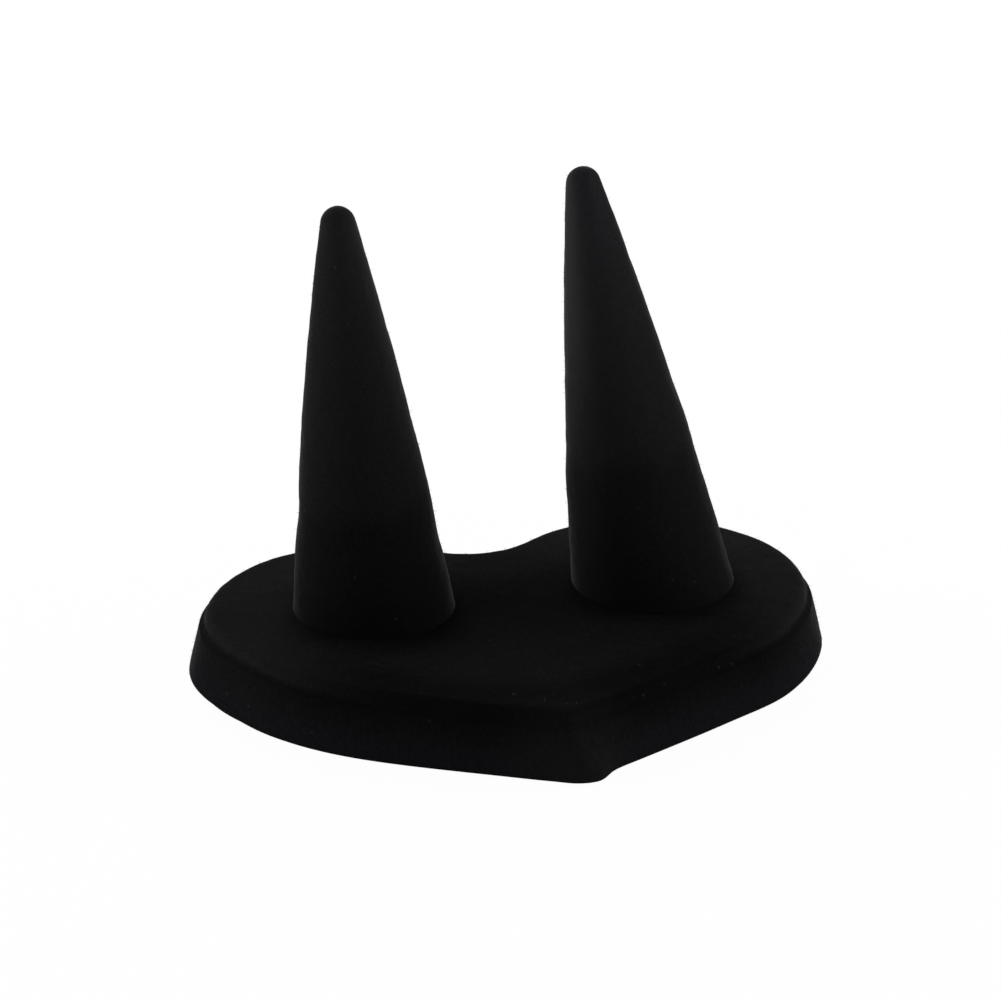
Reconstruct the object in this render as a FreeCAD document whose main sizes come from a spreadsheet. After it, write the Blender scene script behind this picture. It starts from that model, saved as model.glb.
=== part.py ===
# Ring display stand: a flocked heart-shaped base with two leaning cones for finger rings.
# Millimetres. +X points to the right lobe, +Y to the notch at the back and +Z up.
# The origin is the middle of the underside's box. All outer sizes are over the flock.
import FreeCAD, Part
import math
import os

import Sketcher

Vector = FreeCAD.Vector
doc = FreeCAD.newDocument("ring_display_stand")

# Driving dimensions in millimetres, with leans and headings in degrees
driving = {
    # Base outline at the table
    "base_width": 100,
    "base_depth": 72.5,
    "lobe_radius": 27.5,
    "notch_radius": 10,
    "side_radius": 120,
    # Base section, from the table up
    "base_height": 10.2,
    "upper_tier_height": 2.5,
    "wall_lean_in": 1.8,
    "ledge_width": 0.8,
    "upper_lean_in": 0.3,
    "shoulder_radius": 1.5,
    "top_corner_radius": 0.5,
    # Base cavity
    "shell_wall": 2.4,
    "top_wall": 2.0,
    "cavity_corner_radius": 1.0,
    # Bottom board
    "board_thickness": 1.5,
    "rim_width": 1.2,
    "board_clearance": 0.2,
    # Cones
    "cone_height": 69,
    "foot_radius": 12.5,
    "tip_radius": 2.7,
    "flank_radius": 900,
    "flank_runs": 2,
    "spigot_diameter": 7,
    "spigot_clearance": 0.15,
    "spigot_relief": 0.4,
    "trim_allowance": 1.5,
    # Where the cones stand and how they lean
    "seat_in": 0.35,
    "pair_shift": 1.2,
    "seat_back": 1.0,
    "left_lean": 6.6,
    "left_heading": 219,
    "right_lean": 9.6,
    "right_heading": 158,
    # Screws and washers
    "screw_diameter": 3,
    "screw_length": 12,
    "head_diameter": 6,
    "head_height": 2,
    "bore_clearance": 0.05,
    "bore_spare": 1.0,
    "washer_diameter": 10,
    "washer_thickness": 0.8,
    "washer_clearance": 0.2,
}

# What follows from the driving dimensions
worked_out = {
    "lobe_x": "Sizes.base_width / 2 - Sizes.lobe_radius",
    "lobe_y": "Sizes.base_depth / 2 - Sizes.lobe_radius",
    "ledge_height": "Sizes.base_height - Sizes.upper_tier_height",
    "ledge_inset": "Sizes.wall_lean_in + Sizes.ledge_width",
    "corner_radius": "ledge_inset + Sizes.upper_lean_in + Sizes.shoulder_radius + Sizes.top_corner_radius",
    "corner_y": "corner_radius - Sizes.base_depth / 2",
    "wall_draft": "atan(Sizes.wall_lean_in / ledge_height)",
    "upper_draft": "atan(Sizes.upper_lean_in / Sizes.upper_tier_height)",
    "shoulder_cut": "(2 - sqrt(2)) * Sizes.shoulder_radius",
    "shoulder_ease": "(tan(22.5 * 1 deg) - tan(11.25 * 1 deg)) * Sizes.shoulder_radius",
    "ceiling": "Sizes.base_height - Sizes.top_wall",
    "cavity_corner": "Sizes.cavity_corner_radius + ceiling * Sizes.wall_lean_in / ledge_height",
    "left_x": "Sizes.pair_shift - (lobe_x - Sizes.seat_in)",
    "right_x": "Sizes.pair_shift + (lobe_x - Sizes.seat_in)",
    "seat_y": "lobe_y + Sizes.seat_back",
    "spigot_length": "Sizes.top_wall - Sizes.spigot_relief",
    "bore_top": "Sizes.screw_length - Sizes.washer_thickness - Sizes.top_wall + Sizes.bore_spare",
    "head_seat": "ceiling - Sizes.washer_thickness",
}


def fill_sheet(name, cells):
    sheet = doc.addObject("Spreadsheet::Sheet", name)
    for row, (alias, content) in enumerate(cells.items(), start=1):
        sheet.set(f"A{row}", alias)
        sheet.setAlias(f"B{row}", alias)
        sheet.set(f"B{row}", f"={content}" if isinstance(content, str) else str(content))
    doc.recompute()
    return sheet


sizes = fill_sheet("Sizes", driving)
worked = fill_sheet("Worked", worked_out)


def value(expression):
    """The plain number that an expression on the two sheets gives."""
    found = worked.evalExpression(expression)
    return float(getattr(found, "Value", found))


def bind(target, **expressions):
    for name, expression in expressions.items():
        target.setExpression(name, expression)


def new_sketch(body, name, plane, height=None):
    sketch = body.newObject("Sketcher::SketchObject", name)
    origin_plane = next(f for f in body.Origin.OriginFeatures if f.Role == plane)
    sketch.AttachmentSupport = (origin_plane, [""])
    sketch.MapMode = "FlatFace"
    if height:
        sketch.setExpression("AttachmentOffset.Base.z", height)
    return sketch


def constrain(sketch, *constraint, size=None):
    index = sketch.addConstraint(Sketcher.Constraint(*constraint))
    if size:
        sketch.setExpression(f"Constraints[{index}]", size)


def arc(centre, radius, start, end):
    """An arc about centre, anticlockwise from the direction of start to that of end."""
    circle = Part.Circle(centre, Vector(0, 0, 1), radius)
    angles = [math.atan2(p.y - centre.y, p.x - centre.x) for p in (start, end)]
    return Part.ArcOfCircle(circle, angles[0], angles[1])


def centre_of_touching(first, first_distance, second, second_distance):
    """The point at both distances from the two centres, on the side of smaller x."""
    between = second - first
    span = between.Length
    along = (first_distance**2 - second_distance**2 + span**2) / (2 * span)
    across = math.sqrt(first_distance**2 - along**2)
    unit = between / span
    normal = Vector(-unit.y, unit.x, 0)
    return min((first + unit * along + normal * side * across for side in (-1, 1)), key=lambda p: p.x)


def mirrored(point):
    return Vector(-point.x, point.y, 0)


def heart_sketch(body, name, inset, corner_radius, height=None):
    """The heart's outline of six touching arcs, moved in by inset, with its front corner's own radius."""
    moved_in = value(inset)
    lobe = Vector(value("Worked.lobe_x"), value("Worked.lobe_y"), 0)
    corner_mark = Vector(0, value("Worked.corner_y"), 0)
    lobe_radius = value("Sizes.lobe_radius")
    side_radius = value("Sizes.side_radius")
    side = centre_of_touching(lobe, side_radius - lobe_radius,
                              corner_mark, side_radius - value("Worked.corner_radius"))
    notch_radius = value("Sizes.notch_radius")
    notch = Vector(0, lobe.y + math.sqrt((lobe_radius + notch_radius) ** 2 - lobe.x**2), 0)
    corner_size = value(corner_radius)
    reach = side_radius - moved_in - corner_size
    corner = Vector(0, side.y - math.sqrt(reach**2 - side.x**2), 0)

    lobe_start = side + (lobe - side).normalize() * (side_radius - moved_in)
    corner_end = side + (corner - side).normalize() * (side_radius - moved_in)
    notch_end = lobe + (notch - lobe).normalize() * (lobe_radius - moved_in)

    sketch = new_sketch(body, name, "XY_Plane", height)
    sketch.addGeometry([
        arc(corner, corner_size, mirrored(corner_end), corner_end),
        arc(side, side_radius - moved_in, corner_end, lobe_start),
        arc(lobe, lobe_radius - moved_in, lobe_start, notch_end),
        arc(notch, notch_radius + moved_in, mirrored(notch_end), notch_end),
        arc(mirrored(lobe), lobe_radius - moved_in, mirrored(notch_end), mirrored(lobe_start)),
        arc(mirrored(side), side_radius - moved_in, mirrored(lobe_start), mirrored(corner_end)),
    ])
    mark = sketch.addGeometry(Part.Point(corner_mark), True)
    corner_arc, right_side, right_lobe, notch_arc, left_lobe, left_side = range(6)
    start, end, middle = 1, 2, 3

    constrain(sketch, "Tangent", corner_arc, end, right_side, start)
    constrain(sketch, "Tangent", right_side, end, right_lobe, start)
    constrain(sketch, "Tangent", right_lobe, end, notch_arc, end)
    constrain(sketch, "Tangent", notch_arc, start, left_lobe, start)
    constrain(sketch, "Tangent", left_lobe, end, left_side, start)
    constrain(sketch, "Tangent", left_side, end, corner_arc, start)
    for index, centre in ((right_lobe, lobe), (left_lobe, mirrored(lobe))):
        sign = "" if index == right_lobe else "-"
        constrain(sketch, "DistanceX", index, middle, centre.x, size=f"{sign}Worked.lobe_x")
        constrain(sketch, "DistanceY", index, middle, centre.y, size="Worked.lobe_y")
        constrain(sketch, "Radius", index, lobe_radius - moved_in, size=f"Sizes.lobe_radius - ({inset})")
    constrain(sketch, "PointOnObject", mark, 1, -2)
    constrain(sketch, "DistanceY", mark, 1, corner_mark.y, size="Worked.corner_y")
    for index in (right_side, left_side):
        constrain(sketch, "Radius", index, side_radius - moved_in, size=f"Sizes.side_radius - ({inset})")
        constrain(sketch, "Distance", index, middle, mark, 1, (corner_mark - side).Length,
                  size="Sizes.side_radius - Worked.corner_radius")
    constrain(sketch, "Radius", notch_arc, notch_radius + moved_in, size=f"Sizes.notch_radius + ({inset})")
    constrain(sketch, "Radius", corner_arc, corner_size, size=corner_radius)
    return sketch


def circles_sketch(body, name, places, diameter, height):
    """Equal circles; each place is a pair of expressions."""
    sketch = new_sketch(body, name, "XY_Plane", height)
    for across, back in places:
        centre = Vector(value(across), value(back), 0)
        index = sketch.addGeometry(Part.Circle(centre, Vector(0, 0, 1), value(diameter) / 2))
        constrain(sketch, "Diameter", index, value(diameter), size=diameter)
        constrain(sketch, "DistanceX", index, 3, centre.x, size=across)
        constrain(sketch, "DistanceY", index, 3, centre.y, size=back)
    return sketch


def round_sketch(body, name, diameter):
    """One circle about the body's own axis."""
    sketch = new_sketch(body, name, "XY_Plane")
    index = sketch.addGeometry(Part.Circle(Vector(), Vector(0, 0, 1), value(diameter) / 2))
    constrain(sketch, "Diameter", index, value(diameter), size=diameter)
    constrain(sketch, "Coincident", index, 3, -1, 1)
    return sketch


def extrude(body, kind, name, sketch, length, upward=True, taper=None):
    """A Pad or Pocket from the sketch, upward or downward."""
    feature = body.newObject(f"PartDesign::{kind}", name)
    feature.Profile = sketch
    feature.Reversed = upward == (kind == "Pocket")
    feature.setExpression("Length", length)
    if taper:
        feature.setExpression("TaperAngle", taper)
    doc.recompute()
    return feature


def chamfer_at(body, name, feature, height, size):
    """A Chamfer on the feature's edges that lie level at the given height of the body."""
    level, hair = value(height), 1e-4
    edges = [f"Edge{i}" for i, edge in enumerate(feature.Shape.Edges, start=1)
             if abs(edge.BoundBox.ZMin - level) < hair and abs(edge.BoundBox.ZMax - level) < hair]
    chamfer = body.newObject("PartDesign::Chamfer", name)
    chamfer.Base = (feature, edges)
    chamfer.setExpression("Size", size)
    doc.recompute()
    return chamfer


def new_body(name):
    body = doc.addObject("PartDesign::Body", name)
    body.Label = name
    return body


def stand_at(target, x, z, heading="0", lean="0"):
    """Places a piece on the seats' line, tipped by its lean towards its heading."""
    axis = f"vector(-sin({heading} * 1 deg); cos({heading} * 1 deg); 0)"
    target.setExpression("Placement", f"placement(vector({x}; Worked.seat_y; {z}); rotation({axis}; {lean}))")


def base_shell():
    """The hollow heart moulding: lower tier, ledge, upper tier and the cones' sockets.

    Two flats follow the shoulder's round: a chamfer that touches it, and a smaller one above that eases it
    into the top.
    """
    body = new_body("base_shell")
    outline = heart_sketch(body, "lower_outline", "0", "Worked.corner_radius")
    extrude(body, "Pad", "lower_tier", outline, "Worked.ledge_height", taper="-Worked.wall_draft")
    outline = heart_sketch(body, "upper_outline", "Worked.ledge_inset",
                           "Worked.corner_radius - Worked.ledge_inset", "Worked.ledge_height")
    upper = extrude(body, "Pad", "upper_tier", outline, "Sizes.upper_tier_height", taper="-Worked.upper_draft")
    shoulder = chamfer_at(body, "shoulder", upper, "Sizes.base_height", "Worked.shoulder_cut")
    chamfer_at(body, "eased_shoulder", shoulder, "Sizes.base_height", "Worked.shoulder_ease")
    outline = heart_sketch(body, "cavity_outline", "Sizes.shell_wall", "Worked.cavity_corner")
    extrude(body, "Pocket", "cavity", outline, "Worked.ceiling", taper="-Worked.wall_draft")
    outline = heart_sketch(body, "rebate_outline", "Sizes.rim_width", "Worked.corner_radius - Sizes.rim_width")
    extrude(body, "Pocket", "board_rebate", outline, "Sizes.board_thickness")
    seats = (("Worked.left_x", "Worked.seat_y"), ("Worked.right_x", "Worked.seat_y"))
    holes = circles_sketch(body, "spigot_circles", seats, "Sizes.spigot_diameter + 2 * Sizes.spigot_clearance",
                           "Sizes.base_height")
    extrude(body, "Pocket", "spigot_holes", holes, "2 * Sizes.top_wall", upward=False)
    return body


def bottom_board():
    """The thin board glued in the rebate, flush with the rim."""
    body = new_body("bottom_board")
    inset = "Sizes.rim_width + Sizes.board_clearance"
    outline = heart_sketch(body, "board_outline", inset, f"Worked.corner_radius - ({inset})")
    extrude(body, "Pad", "board", outline, "Sizes.board_thickness")
    return body


def ogive(name, below):
    """The round-tipped cone; straight tapers follow one long flank arc, also below the foot circle."""
    runs = round(value("Sizes.flank_runs"))
    foot = Vector(value("Sizes.foot_radius"), 0, 0)
    top = Vector(0, value("Sizes.cone_height"), 0)
    tip_size, flank_size = value("Sizes.tip_radius"), value("Sizes.flank_radius")
    tip = Vector(0, top.y - tip_size, 0)
    flank = centre_of_touching(foot, flank_size, tip, flank_size - tip_size)
    touch = flank + (tip - flank).normalize() * flank_size
    low = -value(below)

    def on_flank(height):
        return Vector(flank.x + math.sqrt(flank_size**2 - (height - flank.y) ** 2), height, 0)

    corners = [on_flank(low)] + [on_flank(tip.y * run / runs) for run in range(1, runs)] + [touch]
    body = new_body(name)
    sketch = new_sketch(body, f"{name}_profile", "XZ_Plane")
    bottom = sketch.addGeometry(Part.LineSegment(Vector(0, low, 0), corners[0]))
    tapers = [sketch.addGeometry(Part.LineSegment(*ends)) for ends in zip(corners, corners[1:])]
    tip_arc = sketch.addGeometry(arc(tip, tip_size, touch, top))
    middle_line = sketch.addGeometry(Part.LineSegment(top, Vector(0, low, 0)))
    flank_arc = sketch.addGeometry(arc(flank, flank_size, corners[0], touch), True)
    mark = sketch.addGeometry(Part.Point(foot), True)
    start, end, middle = 1, 2, 3

    constrain(sketch, "Coincident", bottom, end, tapers[0], start)
    constrain(sketch, "Coincident", bottom, end, flank_arc, start)
    for run, (lower, upper) in enumerate(zip(tapers, tapers[1:]), start=1):
        constrain(sketch, "Coincident", lower, end, upper, start)
        constrain(sketch, "PointOnObject", lower, end, flank_arc)
        constrain(sketch, "DistanceY", lower, end, corners[run].y,
                  size=f"(Sizes.cone_height - Sizes.tip_radius) * {run} / Sizes.flank_runs")
    constrain(sketch, "Tangent", flank_arc, end, tip_arc, start)
    constrain(sketch, "Coincident", tapers[-1], end, tip_arc, start)
    constrain(sketch, "Coincident", tip_arc, end, middle_line, start)
    constrain(sketch, "Coincident", middle_line, end, bottom, start)
    constrain(sketch, "Horizontal", bottom)
    constrain(sketch, "PointOnObject", middle_line, start, -2)
    constrain(sketch, "PointOnObject", middle_line, end, -2)
    constrain(sketch, "PointOnObject", tip_arc, middle, -2)
    constrain(sketch, "Radius", tip_arc, tip_size, size="Sizes.tip_radius")
    constrain(sketch, "Radius", flank_arc, flank_size, size="Sizes.flank_radius")
    constrain(sketch, "DistanceY", middle_line, start, top.y, size="Sizes.cone_height")
    constrain(sketch, "DistanceY", middle_line, end, low, size=f"-({below})")
    constrain(sketch, "PointOnObject", mark, 1, -1)
    constrain(sketch, "DistanceX", mark, 1, foot.x, size="Sizes.foot_radius")
    constrain(sketch, "PointOnObject", mark, 1, flank_arc)
    turned = body.newObject("PartDesign::Revolution", f"{name}_turned")
    turned.Profile = sketch
    turned.ReferenceAxis = (sketch, ["V_Axis"])
    turned.Angle = 360
    doc.recompute()
    return body


def boolean(kind, name, base, tool):
    joined = doc.addObject(f"Part::{kind}", name)
    joined.Label = name
    joined.Base = base
    joined.Tool = tool
    return joined


def cone(side):
    """One cone: an ogive that leans, its foot trimmed flat, with a spigot and screw bore."""
    x = f"Worked.{side}_x"
    heading, lean = f"Sizes.{side}_heading", f"Sizes.{side}_lean"
    below = f"(Sizes.foot_radius + Sizes.trim_allowance) * tan({lean} * 1 deg) + Sizes.trim_allowance"

    leaning = ogive(f"{side}_ogive", below)
    stand_at(leaning, x, "Sizes.base_height", heading, lean)

    waste = doc.addObject("Part::Cylinder", f"{side}_waste")
    bind(waste, Radius="2 * Sizes.foot_radius", Height=f"2 * ({below})")
    stand_at(waste, x, f"Sizes.base_height - 2 * ({below})")
    trimmed = boolean("Cut", f"{side}_trimmed", leaning, waste)

    spigot = doc.addObject("Part::Cylinder", f"{side}_spigot")
    bind(spigot, Radius="Sizes.spigot_diameter / 2", Height="Worked.spigot_length")
    stand_at(spigot, x, "Sizes.base_height - Worked.spigot_length")
    footed = boolean("Fuse", f"{side}_footed", trimmed, spigot)

    bore = doc.addObject("Part::Cylinder", f"{side}_bore")
    bind(bore, Radius="Sizes.screw_diameter / 2 + Sizes.bore_clearance",
         Height="Worked.bore_top + Worked.spigot_length")
    stand_at(bore, x, "Sizes.base_height - Worked.spigot_length")
    return boolean("Cut", f"{side}_cone", footed, bore)


def washer(side):
    body = new_body(f"{side}_washer")
    disc = round_sketch(body, f"{side}_washer_circle", "Sizes.washer_diameter")
    extrude(body, "Pad", f"{side}_washer_disc", disc, "Sizes.washer_thickness")
    hole = round_sketch(body, f"{side}_washer_hole", "Sizes.screw_diameter + 2 * Sizes.washer_clearance")
    extrude(body, "Pocket", f"{side}_washer_bore", hole, "Sizes.washer_thickness")
    stand_at(body, f"Worked.{side}_x", "Worked.head_seat")
    return body


def screw(side):
    """A flat-ended screw, shank up; its origin is under the head."""
    body = new_body(f"{side}_screw")
    head = round_sketch(body, f"{side}_head_circle", "Sizes.head_diameter")
    extrude(body, "Pad", f"{side}_head", head, "Sizes.head_height", upward=False)
    shank = round_sketch(body, f"{side}_shank_circle", "Sizes.screw_diameter")
    extrude(body, "Pad", f"{side}_shank", shank, "Sizes.screw_length")
    stand_at(body, f"Worked.{side}_x", "Worked.head_seat")
    return body


pieces = [base_shell(), bottom_board()]
for side in ("left", "right"):
    pieces += [cone(side), washer(side), screw(side)]
doc.recompute()

for item in doc.Objects:
    if {"Invalid", "Error"} & set(item.State):
        raise RuntimeError(f"{item.Name} did not build: {item.State}")

os.makedirs("parts", exist_ok=True)
for piece in pieces:
    shape = piece.Shape
    if shape.isNull() or not shape.isValid() or len(shape.Solids) != 1:
        raise RuntimeError(f"{piece.Label} is not one sound solid")
    shape.exportStep(f"parts/{piece.Label}.step")
    box = shape.BoundBox
    print(f"{piece.Label}: {shape.Volume:.1f} mm3, x {box.XMin:.2f} to {box.XMax:.2f}, "
          f"y {box.YMin:.2f} to {box.YMax:.2f}, z {box.ZMin:.2f} to {box.ZMax:.2f}")
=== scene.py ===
# Ring display stand: a flocked heart base with two ring cones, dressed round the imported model
import bisect
import math
import random

import bmesh
import bpy
from mathutils import Matrix, Quaternion, Vector, noise


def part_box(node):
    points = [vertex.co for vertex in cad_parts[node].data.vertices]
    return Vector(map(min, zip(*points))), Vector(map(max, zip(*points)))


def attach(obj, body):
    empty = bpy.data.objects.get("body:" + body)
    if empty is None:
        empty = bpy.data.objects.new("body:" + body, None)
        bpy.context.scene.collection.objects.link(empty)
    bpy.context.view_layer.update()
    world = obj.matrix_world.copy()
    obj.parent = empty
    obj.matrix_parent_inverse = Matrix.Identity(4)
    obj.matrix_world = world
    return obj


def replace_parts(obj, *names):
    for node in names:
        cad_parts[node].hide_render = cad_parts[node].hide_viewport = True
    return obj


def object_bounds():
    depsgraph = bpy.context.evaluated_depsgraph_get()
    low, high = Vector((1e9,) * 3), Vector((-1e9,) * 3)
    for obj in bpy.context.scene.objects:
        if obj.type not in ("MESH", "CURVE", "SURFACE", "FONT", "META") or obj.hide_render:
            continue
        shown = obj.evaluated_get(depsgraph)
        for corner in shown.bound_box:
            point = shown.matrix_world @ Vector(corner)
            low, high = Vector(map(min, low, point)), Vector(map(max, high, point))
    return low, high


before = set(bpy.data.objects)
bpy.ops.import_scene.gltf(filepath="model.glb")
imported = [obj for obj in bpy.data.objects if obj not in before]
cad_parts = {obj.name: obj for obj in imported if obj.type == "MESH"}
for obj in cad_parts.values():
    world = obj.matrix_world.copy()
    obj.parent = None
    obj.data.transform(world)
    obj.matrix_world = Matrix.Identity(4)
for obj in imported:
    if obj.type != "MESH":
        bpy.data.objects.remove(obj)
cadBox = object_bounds()

# Every size below is in metres and every angle in degrees, unless its note says otherwise.
# A texture's scale is in cells per metre

sharedSizes = {
    "baseTop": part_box("base_shell")[1].z,  # where the cones' feet stand
    "noiseOffset": Vector((0.31, 0.17, 0.53)),  # keeps the noise off its lattice at the origin
    "sharpFrom": 50,  # faces that meet at a greater angle are not shaded as one
    "fewestTurns": 3,  # steps in the smallest rounded corner
}


# Small helpers that more than one piece uses

def polar(centre, radius, angle):
    return centre + Vector((math.cos(angle), math.sin(angle))) * radius


def touchingCentre(first, firstDistance, second, secondDistance):
    # The point at the given distances from two others, the left-hand one of the two that there are
    apart = second - first
    along = (firstDistance**2 - secondDistance**2 + apart.length_squared) / (2 * apart.length)
    aside = math.sqrt(firstDistance**2 - along**2)
    direction = apart.normalized()
    square = Vector((-direction.y, direction.x))
    found = [first + direction * along + square * side for side in (aside, -aside)]
    return min(found, key=lambda point: point.x)


def softPath(corners, spacing):
    # A path through corners (across, up, radius), each rounded to its own radius
    places = [Vector(corner[:2]) for corner in corners]
    path = [places[0]]
    for before, here, after, corner in zip(places, places[1:], places[2:], corners[1:]):
        radius = corner[2]
        inward = (before - here).normalized()
        outward = (after - here).normalized()
        halfAngle = inward.angle(outward) / 2
        if radius:
            setBack = radius / math.tan(halfAngle)
            middle = here + (inward + outward).normalized() * radius / math.sin(halfAngle)
            start = here + inward * setBack - middle
            turn = start.angle_signed(here + outward * setBack - middle)
            steps = max(sharedSizes["fewestTurns"], math.ceil(abs(turn) * radius / spacing))
            for step in range(steps + 1):
                angle = -turn * step / steps
                path.append(middle + Matrix.Rotation(angle, 2) @ start)
        else:
            path.append(here)
    path.append(places[-1])
    filled = [path[0]]
    for here in path[1:]:
        last = filled[-1]
        steps = max(1, round((here - last).length / spacing))
        filled += [last.lerp(here, step / steps) for step in range(1, steps + 1)]
    return filled


def meshFromRings(rings, firstPole, lastPole):
    # Closed rings of equal count, joined by quads, with a pole point at either end
    mesh = bmesh.new()
    made = [[mesh.verts.new(point) for point in ring] for ring in rings]
    count = len(rings[0])
    for lower, upper in zip(made, made[1:]):
        for i in range(count):
            j = (i + 1) % count
            mesh.faces.new((lower[i], lower[j], upper[j], upper[i]))
    first = mesh.verts.new(firstPole)
    last = mesh.verts.new(lastPole)
    for i in range(count):
        j = (i + 1) % count
        mesh.faces.new((first, made[0][j], made[0][i]))
        mesh.faces.new((last, made[-1][i], made[-1][j]))
    mesh.normal_update()
    return mesh, made


def addPiece(name, mesh, material, smooth=True):
    data = bpy.data.meshes.new(name)
    mesh.to_mesh(data)
    mesh.free()
    for polygon in data.polygons:
        polygon.use_smooth = smooth
    data.set_sharp_from_angle(angle=math.radians(sharedSizes["sharpFrom"]))
    piece = bpy.data.objects.new(name, data)
    bpy.context.scene.collection.objects.link(piece)
    data.materials.append(material)
    return piece


# The flock's own unevenness, as a height over the moulding

flockRelief = {
    "broadSpan": 0.007,  # slow waves where the glue was thicker
    "broadRise": 0.00010,
    "tuftSpan": 0.0018,  # tufts of the pile
    "tuftRise": 0.00005,
}


def flockRise(place):
    shifted = place + sharedSizes["noiseOffset"]
    broad = noise.noise(shifted / flockRelief["broadSpan"]) * flockRelief["broadRise"]
    tuft = noise.noise(shifted / flockRelief["tuftSpan"]) * flockRelief["tuftRise"]
    return broad + tuft


def raiseFlock(rings, lumps=()):
    # Moves each point of the flocked rings along its normal, and swells or dents the pile at the lumps
    moves = []
    for ring in rings:
        for vert in ring:
            rise = flockRise(vert.co)
            for place, size, height in lumps:
                away = (vert.co - place).length / size
                rise += height * math.exp(-away * away)
            moves.append((vert, vert.normal * rise))
    for vert, move in moves:
        vert.co += move


# Loose fibres of the pile that lean out, black or dusty, and bits of pale lint

looseFibres = {
    "length": (0.00035, 0.00085),
    "radius": 0.000028,
    "sunk": 0.00010,
    "lean": 1.1,  # how far from upright, as the tangent
    "curl": 0.5,  # share of the length by which the end is bent aside
    "offAxis": 0.01,  # tells the bend's direction where a fibre stands upright
    "sides": 3,
    "steps": 3,
    "dustAndLightShare": 0.45,
    "dustyTone": (0.02, 0.11),
    "lintFibres": 4,
    "lintSpread": 0.00015,
    "lintTone": 0.4,
}


def growFibre(mesh, look, root, upward, chance):
    # A thin thread with flat sides that tapers to a point and curls aside
    across = upward.orthogonal().normalized()
    across.rotate(Quaternion(upward, chance.uniform(0, 2 * math.pi)))
    direction = (upward + across * chance.uniform(0, look["lean"])).normalized()
    aside = direction.cross(upward + across * look["offAxis"]).normalized()
    length = chance.uniform(*look["length"])
    curl = chance.uniform(-1, 1) * look["curl"] * length
    start = root - upward * look["sunk"]
    beside = direction.cross(aside)
    sides = look["sides"]
    turns = [2 * math.pi * corner / sides for corner in range(sides)]
    spokes = [aside * math.cos(turn) + beside * math.sin(turn) for turn in turns]
    rings = []
    for step in range(look["steps"]):
        share = step / look["steps"]
        middle = start + direction * length * share + aside * curl * share**2
        radius = look["radius"] * (1 - share)
        rings.append([mesh.verts.new(middle + spoke * radius) for spoke in spokes])
    end = mesh.verts.new(start + direction * length + aside * curl)
    for lower, upper in zip(rings, rings[1:]):
        for i in range(sides):
            j = (i + 1) % sides
            mesh.faces.new((lower[i], lower[j], upper[j], upper[i]))
    for i in range(sides):
        mesh.faces.new((rings[-1][i], rings[-1][(i + 1) % sides], end))
    return sides * look["steps"] + 1


def growFibres(mesh, rings, count, lint, seed):
    # Scatters fibres evenly over the rings' surface, adds the lint, and gives each new point's paleness
    chance = random.Random(seed)
    lengths = [sum((here.co - last.co).length for last, here in zip(ring, ring[1:])) for ring in rings]
    chosen = [chance.choice(ring) for ring in chance.choices(rings, weights=lengths, k=count)]
    roots = []
    for vert in chosen:
        pale = 0.0
        if chance.random() < looseFibres["dustAndLightShare"]:
            pale = chance.uniform(*looseFibres["dustyTone"])
        roots.append((vert.co.copy(), vert.normal.copy(), pale))
    spread = looseFibres["lintSpread"]
    for place, upward in lint:
        for _ in range(looseFibres["lintFibres"]):
            aside = Vector([chance.uniform(-spread, spread) for _ in range(3)])
            roots.append((place + aside, upward, looseFibres["lintTone"]))
    paleness = []
    for root, upward, pale in roots:
        paleness += [pale] * growFibre(mesh, looseFibres, root, upward, chance)
    return paleness


def storeValues(piece, name, values):
    stored = piece.data.attributes.new(name, "FLOAT", "POINT")
    stored.data.foreach_set("value", values)


# Node groups that the materials share

def newGroup(name, inputs, outputs):
    group = bpy.data.node_groups.new(name, "ShaderNodeTree")
    for socketName, kind, value in inputs:
        socket = group.interface.new_socket(socketName, in_out="INPUT", socket_type=kind)
        if value is not None:
            socket.default_value = value
    for socketName, kind in outputs:
        group.interface.new_socket(socketName, in_out="OUTPUT", socket_type=kind)
    ends = group.nodes.new("NodeGroupInput"), group.nodes.new("NodeGroupOutput")
    return group, ends[0].outputs, ends[1].inputs


def addNode(tree, kind, **settings):
    node = tree.nodes.new(kind)
    for name, value in settings.items():
        setattr(node, name, value)
    return node


def mathNode(tree, operation, first, second, clamp=False):
    node = addNode(tree, "ShaderNodeMath", operation=operation, use_clamp=clamp)
    for socket, value in zip(node.inputs, (first, second)):
        if isinstance(value, (int, float)):
            socket.default_value = value
        else:
            tree.links.new(value, socket)
    return node.outputs[0]


def noiseNode(tree, vector, scale, detail=2.0, roughness=0.5):
    node = addNode(tree, "ShaderNodeTexNoise")
    node.inputs["Detail"].default_value = detail
    node.inputs["Roughness"].default_value = roughness
    tree.links.new(vector, node.inputs["Vector"])
    if isinstance(scale, (int, float)):
        node.inputs["Scale"].default_value = scale
    else:
        tree.links.new(scale, node.inputs["Scale"])
    return node.outputs["Fac"]


def rangeNode(tree, value, low, high, newLow=0.0, newHigh=1.0):
    node = addNode(tree, "ShaderNodeMapRange", interpolation_type="SMOOTHSTEP")
    tree.links.new(value, node.inputs["Value"])
    for name, number in (("From Min", low), ("From Max", high), ("To Min", newLow), ("To Max", newHigh)):
        node.inputs[name].default_value = number
    return node.outputs["Result"]


# The flock's fine grain and the dust on it

flockGrain = {
    "fibreScale": 3200.0,
    "tuftScale": 1500.0,
    "tuftShare": 0.55,  # how much of the grain is tufts, and the rest single fibres
    "grainFrom": (0.32, 0.68),
    "napScale": 110.0,
    "faintestDust": 0.3,
}


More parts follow.
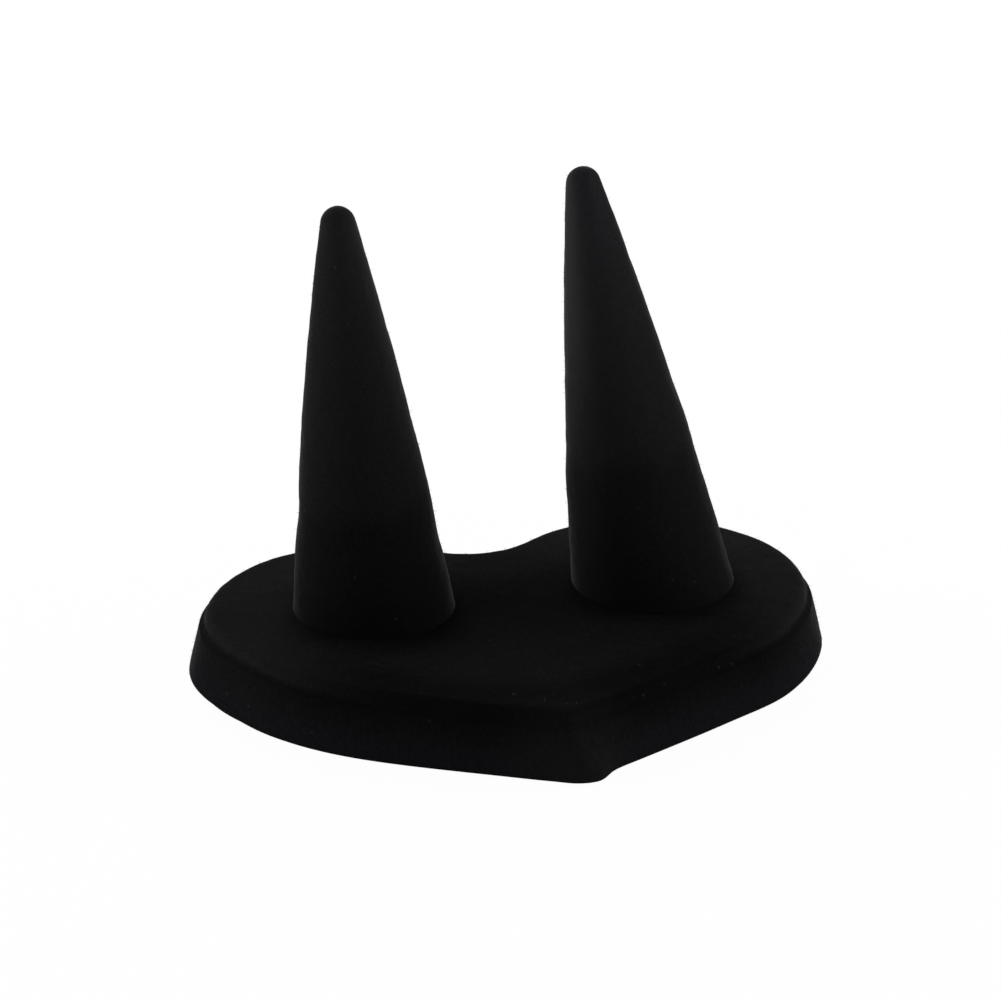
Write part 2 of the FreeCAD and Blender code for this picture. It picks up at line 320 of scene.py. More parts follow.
def buildPileGroup(look):
    # Short upright fibres: a fine grain, tufts that lean together, and slow patches of nap
    group, given, result = newGroup(
        "flockPile",
        [
            ("Vector", "NodeSocketVector", None),
            ("Fibre Scale", "NodeSocketFloat", look["fibreScale"]),
            ("Tuft Scale", "NodeSocketFloat", look["tuftScale"]),
            ("Nap Scale", "NodeSocketFloat", look["napScale"]),
            ("Nap Weight", "NodeSocketFloat", None),
        ],
        [("Tone", "NodeSocketFloat"), ("Height", "NodeSocketFloat")])
    fibre = noiseNode(group, given["Vector"], given["Fibre Scale"], detail=1.0)
    tuft = noiseNode(group, given["Vector"], given["Tuft Scale"], detail=3.0, roughness=0.65)
    nap = noiseNode(group, given["Vector"], given["Nap Scale"])
    fibres = mathNode(group, "MULTIPLY", fibre, 1 - look["tuftShare"])
    grain = mathNode(group, "ADD", fibres, mathNode(group, "MULTIPLY", tuft, look["tuftShare"]))
    patches = mathNode(group, "MULTIPLY", mathNode(group, "SUBTRACT", nap, 0.5), given["Nap Weight"])
    tone = mathNode(group, "ADD", rangeNode(group, grain, *look["grainFrom"]), patches, clamp=True)
    group.links.new(tone, result["Tone"])
    group.links.new(grain, result["Height"])
    return group


def buildDustGroup(look):
    # Sparse pale specks of dust, some fainter than others
    group, given, result = newGroup(
        "dustSpecks",
        [
            ("Vector", "NodeSocketVector", None),
            ("Cell Scale", "NodeSocketFloat", None),
            ("Share", "NodeSocketFloat", None),
            ("Speck Size", "NodeSocketFloat", None),
        ],
        [("Mask", "NodeSocketFloat")])
    cells = addNode(group, "ShaderNodeTexVoronoi", feature="F1")
    group.links.new(given["Vector"], cells.inputs["Vector"])
    group.links.new(given["Cell Scale"], cells.inputs["Scale"])
    near = mathNode(group, "LESS_THAN", cells.outputs["Distance"], given["Speck Size"])
    split = addNode(group, "ShaderNodeSeparateColor")
    group.links.new(cells.outputs["Color"], split.inputs["Color"])
    chosen = mathNode(group, "LESS_THAN", split.outputs["Red"], given["Share"])
    strength = rangeNode(group, split.outputs["Green"], 0, 1, look["faintestDust"], 1)
    mask = mathNode(group, "MULTIPLY", mathNode(group, "MULTIPLY", near, chosen), strength)
    group.links.new(mask, result["Mask"])
    return group


pileGroup = buildPileGroup(flockGrain)
dustGroup = buildDustGroup(flockGrain)


def placeGroup(tree, group, vector, **values):
    node = addNode(tree, "ShaderNodeGroup", node_tree=group)
    tree.links.new(vector, node.inputs["Vector"])
    for name, value in values.items():
        node.inputs[name].default_value = value
    return node


def newMaterial(name, **shaderValues):
    material = bpy.data.materials.new(name)
    material.use_nodes = True
    tree = material.node_tree
    shader = tree.nodes["Principled BSDF"]
    for socket, value in shaderValues.items():
        shader.inputs[socket].default_value = value
    place = addNode(tree, "ShaderNodeTexCoord").outputs["Object"]
    return material, tree, shader, place


def mixColours(tree, factor, first, second):
    node = addNode(tree, "ShaderNodeMix", data_type="RGBA")
    tree.links.new(factor, node.inputs["Factor"])
    for socket, value in ((node.inputs["A"], first), (node.inputs["B"], second)):
        if isinstance(value, tuple):
            socket.default_value = (*value, 1)
        else:
            tree.links.new(value, socket)
    return node.outputs["Result"]


def bumpFrom(tree, height, shader, distance):
    node = addNode(tree, "ShaderNodeBump")
    node.inputs["Distance"].default_value = distance
    tree.links.new(height, node.inputs["Height"])
    tree.links.new(node.outputs["Normal"], shader.inputs["Normal"])


# Black flock, on the base and on the cones

flockLook = {
    "bumpDepth": 0.00010,
    "sheenTint": (0.94, 0.95, 1.0, 1.0),
    "dust": (0.030, 0.030, 0.032),
    "dustCells": 800.0,
    "dustShare": 0.05,
    "dustSize": 0.20,
    "dustStrength": 0.35,
    "palest": (0.16, 0.16, 0.17),  # dust on the palest loose fibres
    "inwardName": "inFromShoulder",
    "paleName": "paleness",
}

baseLook = {
    "sheen": 0.120,
    "sheenRoughness": 0.22,
    "deep": (0.0053, 0.0053, 0.0051),
    "lit": (0.0080, 0.0080, 0.0077),
    "paintedShadeDeep": (0.0033, 0.0033, 0.0032),  # painted shade in front of the cones' feet and along the front shoulder
    "paintedShadeLit": (0.0047, 0.0047, 0.0045),
    # painted bounce light from the floor on the lower wall
    "bounceLightDeep": (0.0067, 0.0064, 0.0077),
    "bounceLightLit": (0.0095, 0.0091, 0.0109),
    "paintedLightDeep": (0.0108, 0.0108, 0.0108),  # painted light on the outer ends of the lobes and at the notch
    "paintedLightLit": (0.0144, 0.0144, 0.0144),
    "paintedLightPlace": (0.0, -0.014, 0.0),  # the painted light grows outwards from here
    "paintedLightFrom": 0.0240,
    "paintedLightTo": 0.0480,
    "dustAndLightShare": 0.8,
    "shadeShift": -0.0040,  # towards the front from a foot's middle, where the shade's own middle is
    "shadeFrom": 0.0095,
    "shadeTo": 0.0165,
    "shoulderShadeFrom": (0.0015, 0.0080),  # how far in from the shoulder the painted shade fades
    "frontEnds": (0.0320, 0.0480),  # how far out the painted shade along the front ends
    "upperFrom": (0.0080, 0.0092),
    "bounceLightTop": 0.0092,  # painted bounce light from the floor, strongest at the lower wall's bottom edge and gone at this height
    # painted bounce light from the floor at the bottom of the front corner
    "cornerPlace": (0.0, -0.0355, 0.0020),
    "cornerReach": 0.0160,
    "cornerShare": 0.50,
    "nap": 0.35,
}

coneLook = {
    "sheen": 0.125,
    "sheenRoughness": 0.30,
    "deep": (0.0042, 0.0042, 0.0040),
    "lit": (0.0062, 0.0062, 0.0059),
    # the paler tone up the cone: a step, then painted light that grows towards the tip
    "paleUpperDeep": (0.0165, 0.0163, 0.0182),
    "paleUpperLit": (0.0200, 0.0198, 0.0218),
    "paleStep": (0.0295, 0.0345),  # heights over which the cone steps paler
    "paleStepTilt": 0.08,  # the step stands higher on the right
    # painted light from the foot to the tip, lighter upwards
    "tipLightHeights": (0.0120, 0.0785),
    "tipLightPower": 2.2,  # the painted light quickens towards the tip
    "paleStepShare": 0.22,  # how much of the paling comes at the step, and the rest, painted light, up to the tip
    "sideTone": (0.0340, 0.0338, 0.0344),  # painted light on the side that turns towards the other cone
    "sideTurn": (0.45, 1.0),
    "sideHeights": (0.0250, 0.0620),
    "sideFoot": 0.25,
    "waverScale": 90.0,
    "waver": 0.008,
    "nap": 0.30,
}


def flockMaterial(name, look):
    material, tree, shader, place = newMaterial(
        name, **{"Roughness": 1.0, "Specular IOR Level": 0.0, "Sheen Weight": look["sheen"],
                 "Sheen Roughness": look["sheenRoughness"], "Sheen Tint": flockLook["sheenTint"]})
    pile = placeGroup(tree, pileGroup, place, **{"Nap Weight": look["nap"]})
    bumpFrom(tree, pile.outputs["Height"], shader, flockLook["bumpDepth"])
    return material, tree, shader, place, pile.outputs["Tone"]


def valueNode(tree, name):
    return addNode(tree, "ShaderNodeAttribute", attribute_name=name).outputs["Fac"]


def dustOver(tree, place, colour, shader):
    # Specks of dust over the flock's own colour, and pale dust on some of the loose fibres
    specks = placeGroup(tree, dustGroup, place, **{
        "Cell Scale": flockLook["dustCells"],
        "Share": flockLook["dustShare"],
        "Speck Size": flockLook["dustSize"],
    })
    mask = mathNode(tree, "MULTIPLY", specks.outputs["Mask"], flockLook["dustStrength"])
    dusted = mixColours(tree, mask, colour, flockLook["dust"])
    pale = mixColours(tree, valueNode(tree, flockLook["paleName"]), dusted, flockLook["palest"])
    tree.links.new(pale, shader.inputs["Base Color"])


def splitPlace(tree, place):
    node = addNode(tree, "ShaderNodeSeparateXYZ")
    tree.links.new(place, node.inputs["Vector"])
    return node.outputs


def distanceNode(tree, place, point, flat=False):
    if flat:
        level = addNode(tree, "ShaderNodeVectorMath", operation="MULTIPLY")
        level.inputs[1].default_value = (1, 1, 0)
        tree.links.new(place, level.inputs[0])
        place = level.outputs["Vector"]
    node = addNode(tree, "ShaderNodeVectorMath", operation="DISTANCE")
    node.inputs[1].default_value = point
    tree.links.new(place, node.inputs[0])
    return node.outputs["Value"]


def buildBaseFlock(look, feet):
    material, tree, shader, place, tone = flockMaterial("baseFlock", look)
    # Painted shade in front of each cone's foot, its middle set towards the front
    clear = 1.0
    for foot in feet:
        away = distanceNode(tree, place, (foot[0], foot[1] + look["shadeShift"], 0), flat=True)
        outside = rangeNode(tree, away, look["shadeFrom"], look["shadeTo"])
        clear = mathNode(tree, "MULTIPLY", outside, clear)
    inward = valueNode(tree, flockLook["inwardName"])
    outward = distanceNode(tree, place, look["paintedLightPlace"], flat=True)
    # Painted shade along the front shoulder, fading inwards and towards the lobes' ends
    pastShoulderShade = rangeNode(tree, inward, *look["shoulderShadeFrom"])
    pastShoulderShade = mathNode(tree, "MAXIMUM", pastShoulderShade, rangeNode(tree, outward, *look["frontEnds"]))
    height = splitPlace(tree, place)["Z"]
    onUpper = rangeNode(tree, height, *look["upperFrom"])
    # Painted bounce light from the floor, lightest at the bottom edge of the wall
    bounceLight = rangeNode(tree, height, 0, look["bounceLightTop"], 1, 0)
    # Painted bounce light at the bottom of the front corner, in the same colour as the painted light on
    # the lobes
    toCorner = distanceNode(tree, place, look["cornerPlace"])
    atCorner = rangeNode(tree, toCorner, 0, look["cornerReach"], look["cornerShare"], 0)
    # Painted light on the top, growing outwards to the lobes' ends and the notch, kept out of the feet's
    # painted shade
    paintedLight = rangeNode(tree, outward, look["paintedLightFrom"], look["paintedLightTo"], 0, look["dustAndLightShare"])
    paintedLight = mathNode(tree, "MULTIPLY", mathNode(tree, "MULTIPLY", paintedLight, onUpper), clear)
    paintedLight = mathNode(tree, "MAXIMUM", paintedLight, atCorner)
    plain = mixColours(tree, tone, look["deep"], look["lit"])
    # The darker colour is painted shade
    paintedShade = mixColours(tree, tone, look["paintedShadeDeep"], look["paintedShadeLit"])
    bounceLightColour = mixColours(tree, tone, look["bounceLightDeep"], look["bounceLightLit"])
    paintedLightColour = mixColours(tree, tone, look["paintedLightDeep"], look["paintedLightLit"])
    colour = mixColours(tree, mathNode(tree, "MULTIPLY", pastShoulderShade, clear), paintedShade, plain)
    colour = mixColours(tree, bounceLight, colour, bounceLightColour)
    dustOver(tree, place, mixColours(tree, paintedLight, colour, paintedLightColour), shader)
    return material


def buildConeFlock(look, name, stand):
    material, tree, shader, place, tone = flockMaterial(name, look)
    split = splitPlace(tree, place)
    waver = mathNode(tree, "SUBTRACT", noiseNode(tree, place, look["waverScale"], detail=3.0), 0.5)
    tilt = mathNode(tree, "MULTIPLY", split["X"], look["paleStepTilt"])
    height = mathNode(tree, "SUBTRACT", split["Z"], tilt)
    height = mathNode(tree, "ADD", height, mathNode(tree, "MULTIPLY", waver, look["waver"]))
    # A step paler between these heights
    low, high = look["paleStep"]
    atPaleStep = mathNode(tree, "MULTIPLY", rangeNode(tree, height, low, high), look["paleStepShare"])
    # Painted light, growing from the foot to the tip
    foot, tip = look["tipLightHeights"]
    overFoot = mathNode(tree, "SUBTRACT", height, foot)
    upward = mathNode(tree, "MULTIPLY", overFoot, 1 / (tip - foot), clamp=True)
    quickened = mathNode(tree, "POWER", upward, look["tipLightPower"])
    upward = mathNode(tree, "MULTIPLY", quickened, 1 - look["paleStepShare"])
    share = mathNode(tree, "MULTIPLY", mathNode(tree, "ADD", atPaleStep, upward), stand["paleUpperStrength"])
    share = mathNode(tree, "ADD", share, stand["paleFromFoot"])
    normal = addNode(tree, "ShaderNodeTexCoord").outputs["Normal"]
    turned = mathNode(tree, "MULTIPLY", splitPlace(tree, normal)["X"], stand["inner"])
    # Painted shade on the side away from the other cone: there the paling is cut down
    share = mathNode(tree, "MULTIPLY", share, rangeNode(tree, turned, -1, 0, stand["outerSidePaleShare"], 1))
    plain = mixColours(tree, tone, look["deep"], look["lit"])
    paleUpperColour = mixColours(tree, tone, look["paleUpperDeep"], look["paleUpperLit"])
    # Painted light on the side that turns towards the other cone, less of it towards the foot
    side = rangeNode(tree, turned, *look["sideTurn"], 0, stand["sideShare"])
    sideRise = rangeNode(tree, height, *look["sideHeights"], look["sideFoot"], 1)
    side = mathNode(tree, "MULTIPLY", side, sideRise)
    colour = mixColours(tree, share, plain, paleUpperColour)
    dustOver(tree, place, mixColours(tree, side, colour, look["sideTone"]), shader)
    return material


# Where the cones stand, how they lean and how they pale, partly by painted light. "inner" is the way along
# X to the other cone.
# A lump is its height up the cone, its direction about it, its reach and its rise. Lint has the first two

coneStands = {
    "left_cone": {
        "name": "leftCone",
        "seat": (-0.02095, 0.00975),
        "lean": 6.6,
        "heading": 219,
        "paleUpperStrength": 0.72,
        "paleFromFoot": 0.0,
        "outerSidePaleShare": 1.0,
        "inner": 1,
        "sideShare": 0.35,
        "seed": 23,
        "lumps": [(0.0170, 167, 0.0035, -0.00040), (0.0120, -13, 0.0040, -0.00030)],
        "lint": [(0.0605, -116)],
    },
    "right_cone": {
        "name": "rightCone",
        "seat": (0.02335, 0.00975),
        "lean": 9.6,
        "heading": 158,
        "paleUpperStrength": 1.10,
        "paleFromFoot": 0.13,
        "outerSidePaleShare": 0.5,
        "inner": -1,
        "sideShare": 0.62,
        "seed": 37,
        "lumps": [(0.0270, -13, 0.0040, 0.00020), (0.0170, 167, 0.0040, 0.00020)],
        "lint": [],
    },
}

baseFlock = buildBaseFlock(baseLook, [stand["seat"] for stand in coneStands.values()])
print("materials: flock")


# The heart base: one moulding, hollow underneath

heartBase = {
    "width": 0.100,
    "depth": 0.0725,
    "lobeRadius": 0.0275,
    "notchRadius": 0.010,
    "sideRadius": 0.120,
    "cornerRadius": 0.0049,
    "wallLeanIn": 0.0018,
    "ledgeHeight": 0.0077,
    "ledgeWidth": 0.0008,
    "upperLeanIn": 0.0003,
    "shoulderRadius": 0.0015,
    "bottomEdgeRadius": 0.0004,
    "ledgeEdgeRadius": 0.0006,
    "creaseFill": 0.00045,  # how high the flock fills the ledge's inner corner
    "creaseRadius": 0.0012,
    "rimWidth": 0.0012,
    "rebateDepth": 0.0015,
    "wall": 0.0024,
    "topWall": 0.0020,
    "cavityCornerRadius": 0.0005,
    "middle": (0.0, 0.004),  # the heart's rays all start here
    # Where the real outline swells or sinks, each with its reach and its rise
    "swells": [
        ((-0.0330, -0.0180), 0.0150, 0.0012),
        ((-0.0460, -0.0030), 0.0100, -0.0012),
        ((0.0170, -0.0285), 0.0090, -0.0003),
        ((0.0375, -0.0155), 0.0090, 0.0013),
    ],
    # The same for surplus flock that stands out at the bottom edge only
    "burrs": [
        ((0.0028, -0.0355), 0.0030, 0.0018),
        ((-0.0010, -0.0360), 0.0080, 0.0007),
    ],
    "evenedOver": 0.35,  # share of the way inwards over which the rings' points even out
    "flockSpacing": 0.00050,
    "fewestSteps": 8,  # in the shortest arc of the outline
    "insideSpacing": 0.0020,
    "fibres": 3200,
    "fibreSeed": 11,
    "lint": [(-0.0071, -0.0258), (-0.0030, -0.0285), (0.0013, -0.0309), (-0.0440, 0.0165)],  # on the top
}


# The heart's outline, even as it was moulded and uneven as the flock left it

def heartHalf(size):
    # Points and outward directions from the front corner round the right lobe to the notch
    lobe = Vector((size["width"] / 2 - size["lobeRadius"], size["depth"] / 2 - size["lobeRadius"]))
    corner = Vector((0, size["cornerRadius"] - size["depth"] / 2))
    side = touchingCentre(lobe, size["sideRadius"] - size["lobeRadius"],
                          corner, size["sideRadius"] - size["cornerRadius"])
    reach = size["lobeRadius"] + size["notchRadius"]
    notch = Vector((0, lobe.y + math.sqrt(reach**2 - lobe.x**2)))
    toCorner = math.atan2(corner.y - side.y, corner.x - side.x)
    toLobe = math.atan2(lobe.y - side.y, lobe.x - side.x)
    toNotch = math.atan2(notch.y - lobe.y, notch.x - lobe.x)
    arcs = [
        (corner, size["cornerRadius"], -math.pi / 2, toCorner, 1),
        (side, size["sideRadius"], toCorner, toLobe, 1),
        (lobe, size["lobeRadius"], toLobe, toNotch, 1),
        (notch, size["notchRadius"], toNotch - math.pi, -math.pi / 2, -1),
    ]
    points = []
    for centre, radius, start, end, facing in arcs:
        steps = max(size["fewestSteps"], math.ceil(abs(end - start) * radius / size["flockSpacing"]))
        for step in range(steps):
            angle = start + (end - start) * step / steps
            points.append((polar(centre, radius, angle), polar(Vector((0, 0)), facing, angle)))
    points.append((polar(notch, size["notchRadius"], -math.pi / 2), Vector((0, 1))))
    return points


def evenOutline(size):
    # Each point with its outward direction and its burr, and here the burrs are nothing
    right = heartHalf(size)
    left = []
    for point, outward in right[-2:0:-1]:
        left.append((Vector((-point.x, point.y)), Vector((-outward.x, outward.y))))
    return [(point, outward, 0.0) for point, outward in right + left]


def riseAt(point, rises):
    total = 0.0
    for place, reach, rise in rises:
        away = (point - Vector(place)).length / reach
        total += rise * math.exp(-away * away)
    return total


def unevenOutline(outline, size):
    uneven = []
    for point, outward, _ in outline:
        swollen = point + outward * riseAt(point, size["swells"])
        uneven.append((swollen, outward, riseAt(point, size["burrs"])))
    return uneven


def heartRing(size, outline, inset, height):
    # The outline drawn in by the inset, with its burrs fading out across the rim
    burrShare = max(0, 1 - inset / size["rimWidth"])
    ring = []
    for point, outward, burr in outline:
        ring.append(Vector((*(point + outward * (burr * burrShare - inset)), height)))
    return ring


def ringShares(ring):
    # How far round the ring each point stands, from 0 to 1, and the same for the closing point
    lengths = [(here - last).length for last, here in zip(ring, ring[1:] + ring[:1])]
    total = sum(lengths)
    return [sum(lengths[:i]) / total for i in range(len(ring) + 1)]


def faceRings(size, outline, inset, height, spacing):
    # Rings that shrink from the edge of a flat face to its middle, edge first, and grow evenly spaced
    edge = heartRing(size, outline, inset, height)
    centre = Vector((*size["middle"], height))
    count = len(edge)
    shares = ringShares(edge)
    closed = edge + edge[:1]
    steps = math.ceil(size["lobeRadius"] / spacing)
    rings = []
    for step in range(1, steps):
        evened = min(1, step / steps / size["evenedOver"])
        ring = []
        for i in range(count):
            share = shares[i] * (1 - evened) + i / count * evened
            after = min(bisect.bisect_right(shares, share), count)
            part = (share - shares[after - 1]) / (shares[after] - shares[after - 1])
            ring.append(centre.lerp(closed[after - 1].lerp(closed[after], part), 1 - step / steps))
        rings.append(ring)
    return rings, centre


def buildBase(size):
    outline = evenOutline(size)
    top = sharedSizes["baseTop"]
    ceiling = top - size["topWall"]
    ledgeInset = size["wallLeanIn"] + size["ledgeWidth"]
    upperInset = ledgeInset + size["upperLeanIn"]
    topInset = upperInset + size["shoulderRadius"]
    cavityInset = size["wall"] + ceiling * size["wallLeanIn"] / size["ledgeHeight"]
    inside = [
        (cavityInset + size["shoulderRadius"], ceiling, 0),
        (cavityInset, ceiling, size["cavityCornerRadius"]),
        (size["wall"], size["rebateDepth"], 0),
        (size["rimWidth"], size["rebateDepth"], 0),
        (size["rimWidth"], 0, 0),
    ]
    outside = [
        (size["rimWidth"], 0, 0),
        (0, 0, size["bottomEdgeRadius"]),
        (size["wallLeanIn"], size["ledgeHeight"], size["ledgeEdgeRadius"]),
        (ledgeInset, size["ledgeHeight"] + size["creaseFill"], size["creaseRadius"]),
        (upperInset, top, size["shoulderRadius"]),
        (topInset + size["ledgeWidth"], top, 0),
    ]
    insidePath = softPath(inside, size["insideSpacing"])
    outsidePath = softPath(outside, size["flockSpacing"])[1:]
    uneven = unevenOutline(outline, size)
    ceilingRings, ceilingMiddle = faceRings(size, outline, insidePath[0].x, ceiling, size["insideSpacing"])
    topRings, topMiddle = faceRings(size, uneven, outsidePath[-1].x, top, size["flockSpacing"])
    insideRings = ceilingRings[::-1] + [heartRing(size, outline, *point) for point in insidePath]
    outsideRings = [heartRing(size, uneven, *point) for point in outsidePath] + topRings
    mesh, made = meshFromRings(insideRings + outsideRings, ceilingMiddle, topMiddle)
    flocked = [ring for ring in made[len(insideRings):] if ring[0].co.z > size["bottomEdgeRadius"]]
    raiseFlock(flocked)
    skin = len(mesh.verts)
    lint = [(Vector((*place, top)), Vector((0, 0, 1))) for place in size["lint"]]
    paleness = growFibres(mesh, flocked, size["fibres"], lint, size["fibreSeed"])
    piece = addPiece("heartBase", mesh, baseFlock)
    storeValues(piece, flockLook["paleName"], [0.0] * skin + paleness)
    # How far in from the shoulder each point of the top is, which fades the painted shade along the
    # shoulder
    inward = [0.0] * (len(made) - len(topRings)) * len(outline)
    for step in range(1, len(topRings) + 1):
        inward += [step * size["flockSpacing"]] * len(outline)
    inward += [size["lobeRadius"]] * (skin + len(paleness) - len(inward))
    storeValues(piece, flockLook["inwardName"], inward)
    return piece


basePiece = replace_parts(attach(buildBase(heartBase), "root"), "base_shell")
print("base:", len(basePiece.data.polygons), "faces")


# The two ring cones: slender ogives, their feet cut to the base's top

ringCones = {
    "height": 0.069,
    "footRadius": 0.0125,
    "tipRadius": 0.0027,
    "flankRadius": 0.900,
    "columns": 200,
    "rows": 165,
    "tipRows": 12,
    "bareRows": 2,  # next to the base, where the foot has to stay tight on it
    "footCuts": 6,  # rounds of finding where a slanting side meets the base
    "fibres": 600,
}


def coneSurface(size):
    # The flank's radius at a height, and the angle at which the round tip takes over
    tip = Vector((0, size["height"] - size["tipRadius"]))
    centre = touchingCentre(Vector((size["footRadius"], 0)), size["flankRadius"],
                            tip, size["flankRadius"] - size["tipRadius"])
    touch = (tip - centre).normalized()

    def radiusAt(height):
        return centre.x + math.sqrt(size["flankRadius"]**2 - (height - centre.y)**2)

    return radiusAt, tip.y, math.atan2(touch.y, touch.x)


def buildCone(size, stand):
    heading = math.radians(stand["heading"])
    lean = math.radians(stand["lean"])
    slant = math.sin(lean)
    axis = Vector((slant * math.cos(heading), slant * math.sin(heading), math.cos(lean)))
    across = axis.orthogonal().normalized()
    beside = axis.cross(across)
    seat = Vector((*stand["seat"], sharedSizes["baseTop"]))
    radiusAt, tipHeight, touchAngle = coneSurface(size)
    touchHeight = tipHeight + math.sin(touchAngle) * size["tipRadius"]

    def column(angle):
        outward = across * math.cos(angle) + beside * math.sin(angle)
        foot = 0.0
        for _ in range(size["footCuts"]):
            foot = -radiusAt(foot) * outward.z / axis.z
        points = []
        for row in range(size["rows"] + 1):
            share = row / size["rows"]
            height = foot + (touchHeight - foot) * share
            points.append(seat + axis * height + outward * radiusAt(height))
        for row in range(1, size["tipRows"]):
            turn = touchAngle + (math.pi / 2 - touchAngle) * row / size["tipRows"]
            up = tipHeight + math.sin(turn) * size["tipRadius"]
            points.append(seat + axis * up + outward * math.cos(turn) * size["tipRadius"])
        return points

    columns = [column(2 * math.pi * i / size["columns"]) for i in range(size["columns"])]
    rings = [list(ring) for ring in zip(*columns)]
    for point in rings[0]:
        point.z = seat.z

    def surfacePlace(up, direction):
        outward = Vector((*polar(Vector((0, 0)), 1, math.radians(direction)), 0))
        return seat + axis * up + outward * radiusAt(up), outward

    lumps = []
    for up, direction, reach, rise in stand["lumps"]:
        place, _ = surfacePlace(up, direction)
        lumps.append((place, reach, rise))
    lint = [surfacePlace(*place) for place in stand["lint"]]
    mesh, made = meshFromRings(rings, seat, seat + axis * size["height"])
    flocked = made[size["bareRows"]:]
    raiseFlock(flocked, lumps)
    skin = len(mesh.verts)
    paleness = growFibres(mesh, flocked, size["fibres"], lint, stand["seed"])
    piece = addPiece(stand["name"], mesh, buildConeFlock(coneLook, f"{stand['name']}Flock", stand))
    storeValues(piece, flockLook["paleName"], [0.0] * skin + paleness)
    return piece


for node, stand in coneStands.items():
    cone = buildCone(ringCones, stand)
    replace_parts(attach(cone, "root"), node)
    print("cone:", cone.name, len(cone.data.polygons), "faces")


# The board under the base: thin fibre board faced with matt black paper

boardLook = {
    "paper": (0.013, 0.013, 0.014),
    "fibre": (0.024, 0.023, 0.022),
    "grainScale": 900.0,
    "grainFrom": (0.4, 0.75),
    "clumpScale": 140.0,
    "clumpFrom": (0.3, 0.7),
    "roughness": (0.82, 0.95),
    "bumpDepth": 0.00006,
}


def boardMaterial(look):
    material, tree, shader, place = newMaterial("boardPaper", **{"Specular IOR Level": 0.2})
    grain = noiseNode(tree, place, look["grainScale"], detail=4.0, roughness=0.7)
    clumps = noiseNode(tree, place, look["clumpScale"], detail=3.0)
    clumped = rangeNode(tree, clumps, *look["clumpFrom"])
    blend = mathNode(tree, "MULTIPLY", rangeNode(tree, grain, *look["grainFrom"]), clumped)
    rough = rangeNode(tree, clumps, *look["clumpFrom"], *look["roughness"])
    tree.links.new(mixColours(tree, blend, look["paper"], look["fibre"]), shader.inputs["Base Color"])
    tree.links.new(rough, shader.inputs["Roughness"])
    bumpFrom(tree, grain, shader, look["bumpDepth"])
    return material


# Zinc plate on the hidden screws and washers

zincLook = {
    "bright": (0.62, 0.63, 0.65),
    "dull": (0.46, 0.47, 0.48),
    "spangleScale": 700.0,
    "scuffScale": 2600.0,
    "scuffFrom": (0.3, 0.7),
    "roughness": (0.25, 0.45),
    "bumpDepth": 0.00002,
}


def zincMaterial(look):
    material, tree, shader, place = newMaterial("zincPlate", **{"Metallic": 1.0})
    spangle = noiseNode(tree, place, look["spangleScale"])
    scuff = noiseNode(tree, place, look["scuffScale"], detail=3.0, roughness=0.6)
    tree.links.new(mixColours(tree, spangle, look["bright"], look["dull"]), shader.inputs["Base Color"])
    rough = rangeNode(tree, scuff, *look["scuffFrom"], *look["roughness"])
    tree.links.new(rough, shader.inputs["Roughness"])
    bumpFrom(tree, scuff, shader, look["bumpDepth"])
    return material


def dressNode(name, material):
    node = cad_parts[name]
    node.data.materials.clear()
    node.data.materials.append(material)


dressNode("bottom_board", boardMaterial(boardLook))
zincPlate = zincMaterial(zincLook)
for name in ("left_washer", "right_washer", "left_screw", "right_screw"):
    dressNode(name, zincPlate)
print("board, washers and screws dressed")


# Floor and surroundings: white to the eye, with a soft shadow

studio = {
    "floorSize": 4.0,
    "floorDrop": 0.00005,
    "floorColour": (0.95, 0.95, 0.95),
    "whiteShare": 0.97,  # how much of the seen floor is plain white
    "horizonLight": 0.60,
    "zenithLight": 0.30,
    "zenithFrom": 0.65,  # the sine of the elevation where the room's light is down to the zenith's
}


def whiteRays(tree):
    # Where a ray comes straight from the eye, or by way of metal or glass
    path = addNode(tree, "ShaderNodeLightPath").outputs
    seen = mathNode(tree, "ADD", path["Is Camera Ray"], path["Is Glossy Ray"])
    return mathNode(tree, "ADD", seen, path["Is Transmission Ray"], clamp=True)


def buildFloor(size):
    mesh = bmesh.new()
    half = size["floorSize"] / 2
    square = ((-half, -half), (half, -half), (half, half), (-half, half))
    mesh.faces.new([mesh.verts.new((*corner, -size["floorDrop"])) for corner in square])
    material, tree, shader, _ = newMaterial("floorPaper", **{"Roughness": 1.0, "Specular IOR Level": 0.0})
    shader.inputs["Base Color"].default_value = (*size["floorColour"], 1)
    glow = addNode(tree, "ShaderNodeEmission")
    blend = addNode(tree, "ShaderNodeMixShader")
    share = mathNode(tree, "MULTIPLY", whiteRays(tree), size["whiteShare"])
    tree.links.new(share, blend.inputs["Fac"])
    tree.links.new(shader.outputs["BSDF"], blend.inputs[1])
    tree.links.new(glow.outputs["Emission"], blend.inputs[2])
    tree.links.new(blend.outputs["Shader"], tree.nodes["Material Output"].inputs["Surface"])
    addPiece("floor", mesh, material, smooth=False)


def buildWorld(size):
    world = bpy.data.worlds.new("whiteRoom")
    bpy.context.scene.world = world
    world.use_nodes = True
    tree = world.node_tree
    background = tree.nodes["Background"]
    background.inputs["Color"].default_value = (1, 1, 1, 1)
    direction = addNode(tree, "ShaderNodeTexCoord").outputs["Generated"]
    upward = splitPlace(tree, direction)["Z"]
    light = rangeNode(tree, upward, 0, size["zenithFrom"], size["horizonLight"], size["zenithLight"])
    tree.links.new(mathNode(tree, "MAXIMUM", light, whiteRays(tree)), background.inputs["Strength"])


# Large soft lights from the two sides and from behind

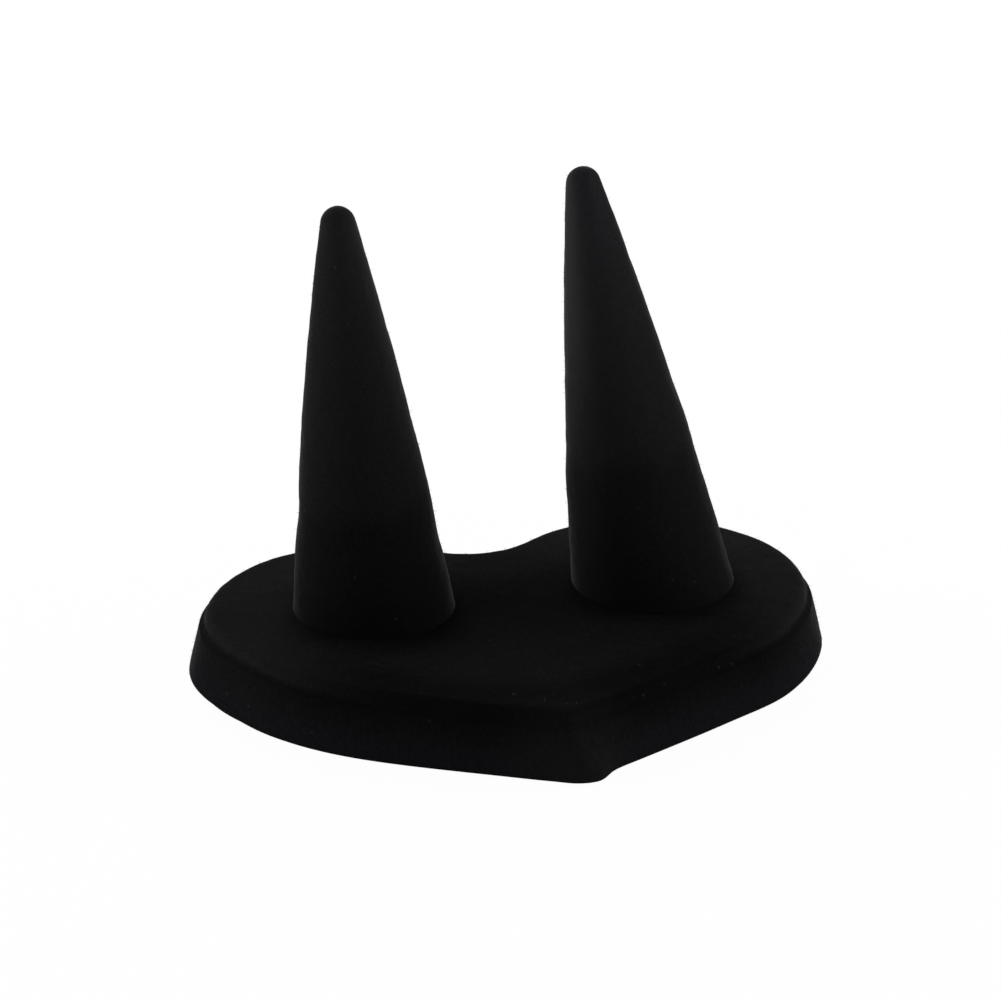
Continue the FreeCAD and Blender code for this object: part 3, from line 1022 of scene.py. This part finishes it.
softLights = {
    "leftLight": {"from": (-0.82, 0.38, 0.27), "size": 0.80, "watts": 6.5},
    "rightLight": {"from": (0.90, 0.02, 0.27), "size": 0.80, "watts": 6.8},
    "backLight": {"from": (0.05, 0.75, 0.55), "size": 0.80, "watts": 4.0},
}


def aimed(place, target):
    return (target - place).to_track_quat("-Z", "Y")


def buildLights(lights, target):
    for name, light in lights.items():
        lamp = bpy.data.lights.new(name, "AREA")
        lamp.size = light["size"]
        lamp.energy = light["watts"]
        holder = bpy.data.objects.new(name, lamp)
        holder.location = light["from"]
        holder.rotation_mode = "QUATERNION"
        holder.rotation_quaternion = aimed(Vector(light["from"]), target)
        bpy.context.scene.collection.objects.link(holder)


buildFloor(studio)
buildWorld(studio)
buildLights(softLights, (cadBox[0] + cadBox[1]) / 2)
print("floor, world and lights ready")


# The camera stands in front, a little to the left, and looks down

photoView = {
    "azimuth": -13.126,
    "elevation": 24.233,
    "roll": 0.023,
    "distance": 0.959143,
    "aside": -0.000983,
    "up": 0.023996,
    "aim": (0.0, 0.00875, 0.0),  # on the table, below the lobes' centres
    "sensor": 36.0,  # millimetres, as is the lens
    "lens": 221.36,
}


def buildCamera(view):
    turn = math.radians(view["azimuth"])
    rise = math.radians(view["elevation"])
    roll = math.radians(view["roll"])
    back = Vector((math.sin(turn) * math.cos(rise), -math.cos(turn) * math.cos(rise), math.sin(rise)))
    right = Vector((math.cos(turn), math.sin(turn), 0))
    up = back.cross(right)
    rolledRight = right * math.cos(roll) + up * math.sin(roll)
    rolledUp = up * math.cos(roll) - right * math.sin(roll)
    place = Vector(view["aim"]) + back * view["distance"]
    place = place + rolledRight * view["aside"] + rolledUp * view["up"]
    data = bpy.data.cameras.new("photoCamera")
    data.sensor_width = view["sensor"]
    data.lens = view["lens"]
    camera = bpy.data.objects.new("photoCamera", data)
    turned = Matrix((rolledRight, rolledUp, back)).transposed().to_4x4()
    camera.matrix_world = Matrix.Translation(place) @ turned
    bpy.context.scene.collection.objects.link(camera)
    bpy.context.scene.camera = camera


buildCamera(photoView)
bpy.context.scene.view_settings.view_transform = "Standard"
